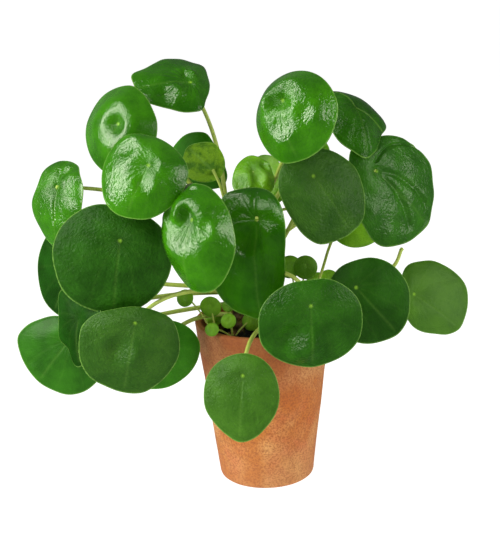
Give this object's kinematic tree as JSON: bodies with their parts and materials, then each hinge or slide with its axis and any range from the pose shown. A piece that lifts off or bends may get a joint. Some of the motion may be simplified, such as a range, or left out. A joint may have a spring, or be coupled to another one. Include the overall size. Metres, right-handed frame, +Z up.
{
  "type": "potted chinese money plant",
  "caption": "Potted Chinese money plant: round glossy leaves on long stalks from a short stem, in a plain tapered terracotta pot.",
  "frame": {"origin": "middle of the pot's underside, on the surface that it stands on", "axes": "+Z up along the pot's axis; the side that the plant faces looks towards -Y, with +X to its right as seen from there"},
  "size_m": [0.3642, 0.1997, 0.3375],
  "materials": {
    "terracotta": "matte",
    "soil": "matte",
    "stem": "matte",
    "leaf": "gloss",
    "young_leaf": "satin",
    "stalk": "satin"
  },
  "bodies": {
    "root": {"pot": "terracotta", "soil": "soil", "main_stem": "stem", "side_stem": "stem", "leaf_01": "leaf", "stalk_01": "stalk", "leaf_02": "leaf", "stalk_02": "stalk", "leaf_03": "leaf", "stalk_03": "stalk", "leaf_04": "leaf", "stalk_04": "stalk", "leaf_05": "leaf", "stalk_05": "stalk", "leaf_06": "leaf", "stalk_06": "stalk", "leaf_07": "leaf", "stalk_07": "stalk", "leaf_08": "leaf", "stalk_08": "stalk", "leaf_09": "leaf", "stalk_09": "stalk", "leaf_10": "leaf", "stalk_10": "stalk", "leaf_11": "leaf", "stalk_11": "stalk", "leaf_12": "leaf", "stalk_12": "stalk", "leaf_13": "leaf", "stalk_13": "stalk", "leaf_14": "leaf", "stalk_14": "stalk", "leaf_15": "leaf", "stalk_15": "stalk", "leaf_16": "leaf", "stalk_16": "stalk", "leaf_19": "leaf", "stalk_19": "stalk", "leaf_20": "leaf", "stalk_20": "stalk", "leaf_21": "leaf", "stalk_21": "stalk", "leaf_22": "leaf", "stalk_22": "stalk", "leaf_23": "leaf", "stalk_23": "stalk", "bare_stalk": "stalk", "leaf_17": "young_leaf", "leaf_18": "young_leaf", "leaf_24": "leaf", "leaf_25": "young_leaf", "leaf_26": "leaf", "leaf_27": "leaf", "leaf_28": "leaf", "leaf_29": "leaf", "leaf_30": "leaf", "young_plant_right": "young_leaf", "young_plant_far_right": "young_leaf", "young_plant_left": "young_leaf", "young_plant_front": "young_leaf"}
  },
  "joints": []
}
